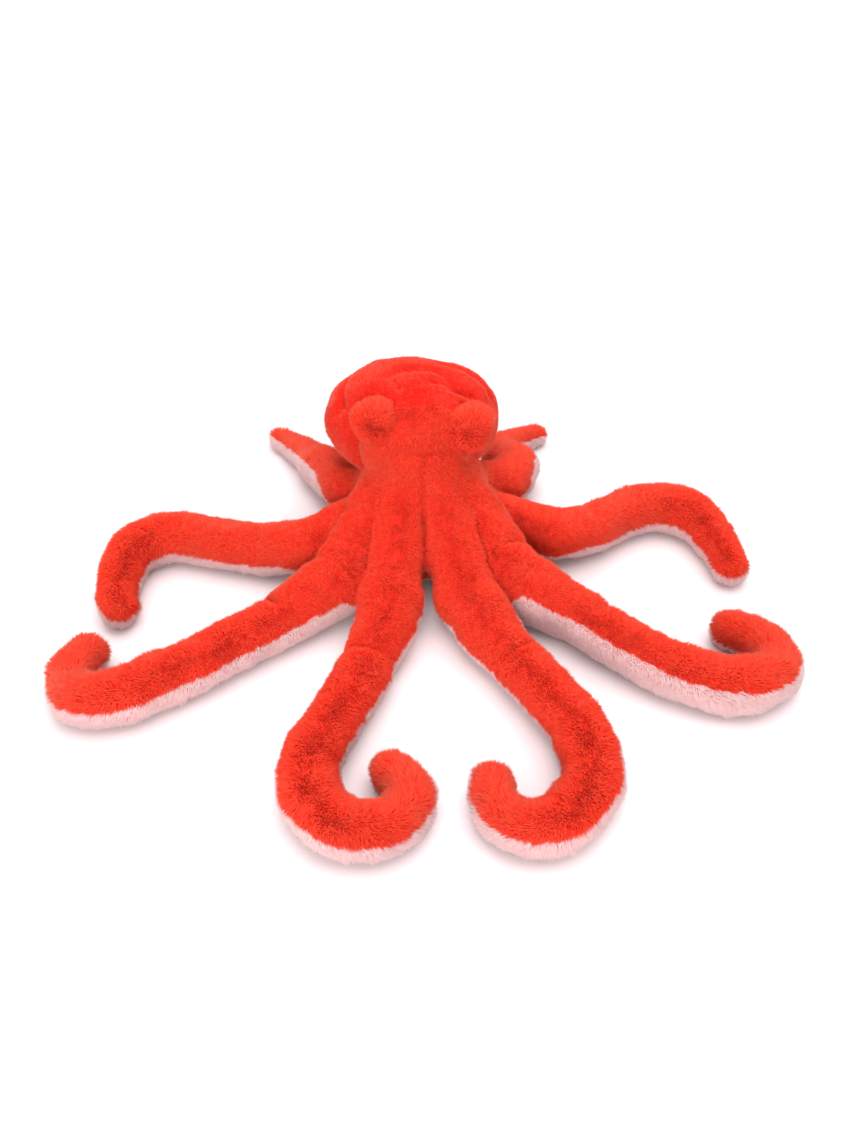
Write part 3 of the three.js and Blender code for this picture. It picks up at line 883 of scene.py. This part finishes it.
def backing_material(name, dark, light):
    """Knitted backing fabric, mottled in colour."""
    material, shader = principled(name)
    colours = material.node_tree.nodes.new("ShaderNodeValToRGB")
    for element, position, colour in zip(colours.color_ramp.elements, (0.35, 0.65), (dark, light)):
        element.position = position
        element.color = (*colour, 1)
    material.node_tree.links.new(noise_input(material, 60, 3), colours.inputs["Fac"])
    material.node_tree.links.new(colours.outputs["Color"], shader.inputs["Base Color"])
    shader.inputs["Roughness"].default_value = 0.95
    return material


def eye_material():
    """Glossy black moulded plastic with fine scuffs."""
    material, shader = principled("eye_gloss")
    ranged(material, noise_input(material, 900), 0.05, 0.16, shader.inputs["Roughness"])
    shader.inputs["Base Color"].default_value = (0.006, 0.004, 0.004, 1)
    shader.inputs["Coat Weight"].default_value = 0.6
    return material


def washer_material():
    """Plain moulded plastic with a fine grain."""
    material, shader = principled("washer_plastic")
    bump = material.node_tree.nodes.new("ShaderNodeBump")
    bump.inputs["Strength"].default_value = 0.15
    material.node_tree.links.new(noise_input(material, 1200), bump.inputs["Height"])
    material.node_tree.links.new(bump.outputs["Normal"], shader.inputs["Normal"])
    shader.inputs["Base Color"].default_value = (0.8, 0.79, 0.75, 1)
    shader.inputs["Roughness"].default_value = 0.45
    return material


RED = {
    "pile": pile_shades("red_pile", (0.92, 0.010, 0.003), (1.0, 0.080, 0.032), (1.0, 0.25, 0.16)),
    "backing": backing_material("red_backing", (0.85, 0.014, 0.006), (0.95, 0.03, 0.014)),
    "slot": "red_plush",
}
PINK = {
    "pile": pile_shades("pink_pile", (1.0, 0.52, 0.515), (1.0, 0.76, 0.755), (1.0, 0.75, 0.75)),
    "backing": backing_material("pink_backing", (0.92, 0.36, 0.35), (1.0, 0.50, 0.49)),
    "slot": "pink_plush",
}


def dress(patch, fabric, hold, replaced=(), length=PILE_LENGTHS["body"], tone=PILE_TONE, bare=None):
    """A patch's fabric and pile, held to its bodies by hold, standing for some CAD nodes."""
    backing = patch.fabric(fabric["backing"])
    pile = grow_pile(patch, fabric["pile"], length, tone, bare)
    for piece in (backing, pile):
        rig.slot(piece, fabric["slot"])
        hold(piece)
    if replaced:
        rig.replaces(backing, *replaced)
    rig.padded(backing, fill=0.7)


# ---- Body and arms -----------------------------------------------------------------------
def arm_hold(axis, zone):
    """How a zone's pieces are held: the root and the middle bend, and the tip rides."""
    base, tip = f"{axis.name}_arm_base", f"{axis.name}_arm_tip"
    if zone == "root":
        return lambda piece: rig.blend(piece, "body", base, *axis.reach_points(0))
    if zone == "middle":
        return lambda piece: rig.blend(piece, base, tip, *axis.reach_points(axis.bend))
    return lambda piece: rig.ride(piece, tip)


def arm_zones(axis):
    """Where each zone of an arm starts and ends. The cuts lie where nothing bends."""
    root_end = axis.bend / 2
    middle_end = axis.bend + JOINT_REACH + MIDDLE_MARGIN
    return {
        "root": (-JOINT_REACH - ROOT_MARGIN, root_end),
        "middle": (root_end, middle_end),
        "tip": (middle_end, math.inf),
    }


def arm_nodes(axis, zone, half):
    """The CAD nodes that a piece stands for. The root's pieces stand for the arm's base."""
    part = {"root": "base", "tip": "tip"}.get(zone)
    if part is None:
        return []
    nodes = [f"{axis.name}_arm_{part}_{half}_cover"]
    if half == "top":
        nodes.append(f"{axis.name}_arm_{part}_stuffing")
    return nodes


def hold_body(piece):
    reach = Vector((0, 0, NECK_REACH))
    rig.blend(piece, "body", "head", NECK - reach, NECK + reach)


def ride_body(piece):
    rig.ride(piece, "body")


def ride_head(piece):
    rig.ride(piece, "head")


def comb_body(points, arm_map):
    """The pile lies down the body, and along each arm towards its tip and down its sides."""
    away = points - np.array(NECK)
    down = unit(np.c_[away[:, :2], np.full(len(points), -FALL)])
    along = unit(arm_map.tangent + np.array((0, 0, -DROOP)))
    share = smoothstep(arm_map.s, TURN_START, 0)[:, None]
    return unit(down * (1 - share) + along * share)


def face_normals(points, triangles):
    a, b, c = (points[triangles[:, k]] for k in range(3))
    return unit(np.cross(b - a, c - a))


def dress_body():
    skin = body_skin()
    points, normals, triangles = mesh_points(skin), mesh_normals(skin), mesh_triangles(skin)
    bpy.data.objects.remove(skin)
    at = ArmMap(points)
    comb = comb_body(points, at)
    above = np.sin(at.angle) - SEAM_COVER + SEAM_WANDER * smooth_noise(points, WANDER_LENGTH, seed=31)
    near_body = smoothstep(at.s, CROTCH_REACH, -CROTCH_REACH / 3)
    above += (normals[:, 2] - BELLY_SLOPE - above) * near_body
    middles = points[triangles].mean(axis=1)
    at = ArmMap(middles)
    on_arm = np.zeros(len(triangles), dtype=bool)
    for number, axis in enumerate(AXES):
        for zone, (start, end) in arm_zones(axis).items():
            inside = (at.arm == number) & (at.s >= start) & (at.s < end)
            on_arm |= inside
            for half, fabric, side in (("top", RED, above), ("under", PINK, -above)):
                name = f"{axis.name}_arm_{zone}_{half}"
                patch = Patch(name, points, normals, triangles[inside], comb, side)
                dress(patch, fabric, arm_hold(axis, zone), arm_nodes(axis, zone, half), PILE_LENGTHS[zone])
    below = ~on_arm & (face_normals(points, triangles)[:, 2] < BELLY_SLOPE)
    front = ~on_arm & ~below & (middles[:, 1] < NECK.y)
    back = ~on_arm & ~below & ~front
    belly = Patch("belly", points, normals, triangles[below], comb)
    dress(belly, PINK, ride_body, ["belly_panel"])
    body_front = Patch("body_front", points, normals, triangles[front], comb)
    dress(body_front, RED, hold_body, ["body_cover", "body_stuffing"])
    dress(Patch("body_back", points, normals, triangles[back], comb), RED, hold_body)


# ---- Head --------------------------------------------------------------------------------
class Eye:
    """Where an eye sits: the middle of its mound and the way it looks."""

    def __init__(self, side):
        low, high = (np.array(corner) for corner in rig.box(f"{side}_eye"))
        self.centre = np.array(MOUNDS[side]["centre"])
        self.gaze = unit((low + high) / 2 - self.centre)

    def from_axis(self, points):
        """How far each point is from the line of sight. Behind the eye that is far away."""
        offset = points - self.centre
        along = offset @ self.gaze
        away = np.linalg.norm(offset - along[:, None] * self.gaze, axis=1)
        return np.where(along > 0, away, FAR)

    def covers(self, points):
        return self.from_axis(points) < EYE_RING

    def comb(self, points, normals):
        """The mound's pile is stroked one way, but it stands up straight round the eye."""
        near = smoothstep(self.from_axis(points), 2 * EYE_RING, EYE_RING)[:, None]
        return unit(np.array(MOUND_COMB)) * (1 - near) + normals * near


def dress_head():
    skin = head_skin()
    points, normals, triangles = mesh_points(skin), mesh_normals(skin), mesh_triangles(skin)
    bpy.data.objects.remove(skin)
    comb = unit(points - np.array(HEAD_CROWN))
    middles = points[triangles].mean(axis=1)
    mound = MOUNDS["right"]
    reach = np.array(mound["size"]) + MOUND_REACH
    is_mound = np.linalg.norm((middles - np.array(mound["centre"])) / reach, axis=1) < 1
    is_face = ~is_mound & (middles[:, 1] < FACE_SEAM_Y)
    is_mantle = ~is_mound & ~is_face
    face = Patch("face", points, normals, triangles[is_face], comb)
    dress(face, RED, ride_head, ["face_cover"])
    mantle = Patch("mantle", points, normals, triangles[is_mantle], comb)
    nodes = ["mantle_cover", "head_stuffing"]
    # The mantle's pile is dressed in deeper shades, as painted shade for its darker look in the light.
    dress(mantle, RED, ride_head, nodes, PILE_LENGTHS["mantle"], MANTLE_PAINTED_SHADE_TONE)
    eye = Eye("right")
    right = Patch("right_mound", points, normals, triangles[is_mound], eye.comb(points, normals))
    dress(right, RED, ride_head, ["right_eye_mound"], PILE_LENGTHS["mound"], bare=eye.covers)


def dress_left_mound():
    """A stuffed ball of longer pile, which stands out all round its middle."""
    ball = ellipsoid("left_mound_skin", **MOUNDS["left"])
    points, normals, triangles = mesh_points(ball), mesh_normals(ball), mesh_triangles(ball)
    bpy.data.objects.remove(ball)
    eye = Eye("left")
    patch = Patch("left_mound", points, normals, triangles, eye.comb(points, normals))
    dress(patch, RED, ride_head, ["left_eye_mound"], PILE_LENGTHS["mound"], bare=eye.covers)


def finish_plastics():
    """The eyes and washers keep their CAD shape and get their plastics."""
    gloss, plain = eye_material(), washer_material()
    for side in ("left", "right"):
        for node, material in ((f"{side}_eye", gloss), (f"{side}_eye_washer", plain)):
            for socket in frame["nodes"][node].material_slots:
                socket.material = material


# ---- Floor, light and camera -------------------------------------------------------------
CAMERA_PLACE = Vector((-0.0025, -0.850, 0.728))
CAMERA_DIP = 42                     # degrees below the horizon
CAMERA_LENS = 37.5                  # millimetres, on a picture 36 mm high
FLOOR_HALF = 1.1                    # half the floor's width, in metres


def set_stage():
    """The floor ends where it is still as bright as the white room, so that no edge shows."""
    corners = [(x * FLOOR_HALF, y * FLOOR_HALF, 0) for x, y in ((-1, -1), (1, -1), (1, 1), (-1, 1))]
    floor = new_object("floor", corners, [(0, 1, 2, 3)])
    material, shader = principled("floor_white")
    # Its faint pink tint is painted reflected light: red bounced from the toy, which shows only in the floor's
    # shadows, as fully lit floor still clips to white.
    shader.inputs["Base Color"].default_value = (0.84, 0.75, 0.76, 1)
    shader.inputs["Roughness"].default_value = 0.9
    shader.inputs["Specular IOR Level"].default_value = 0.1
    floor.data.materials.append(material)
    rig.stage(floor)


def softbox(name, place, aim, size, power):
    light = bpy.data.lights.new(name, "AREA")
    light.shape = "RECTANGLE"
    light.size, light.size_y = size
    light.energy = power
    lamp = bpy.data.objects.new(name, light)
    lamp.location = place
    lamp.rotation_mode = "QUATERNION"
    lamp.rotation_quaternion = (Vector(aim) - Vector(place)).to_track_quat("-Z", "Y")
    bpy.context.scene.collection.objects.link(lamp)


def set_lights():
    world = bpy.data.worlds.new("studio")
    world.use_nodes = True
    world.node_tree.nodes["Background"].inputs["Color"].default_value = (1, 1, 1, 1)
    world.node_tree.nodes["Background"].inputs["Strength"].default_value = 1.0
    bpy.context.scene.world = world
    softbox("overhead", (0.3, 0.2, 2.6), (0, 0.1, 0), (2.6, 2.6), 62)
    softbox("front", (-0.6, -2.2, 0.9), (0, 0, 0.05), (1.8, 1.2), 30)


def set_camera():
    camera = bpy.data.objects.new("camera", bpy.data.cameras.new("camera"))
    camera.location = CAMERA_PLACE
    camera.rotation_euler = (math.radians(90 - CAMERA_DIP), 0, 0)
    camera.data.sensor_width = 36
    camera.data.lens = CAMERA_LENS
    camera.data.clip_start = 0.01
    bpy.context.scene.collection.objects.link(camera)
    bpy.context.scene.camera = camera


set_camera()
set_lights()
set_stage()
bpy.context.scene.view_settings.view_transform = "Standard"
dress_body()
dress_head()
dress_left_mound()
finish_plastics()
with open("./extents.json", "w") as file:
    json.dump({"cad": CAD_BOX, "looks": [list(corner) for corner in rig.bounds()]}, file)
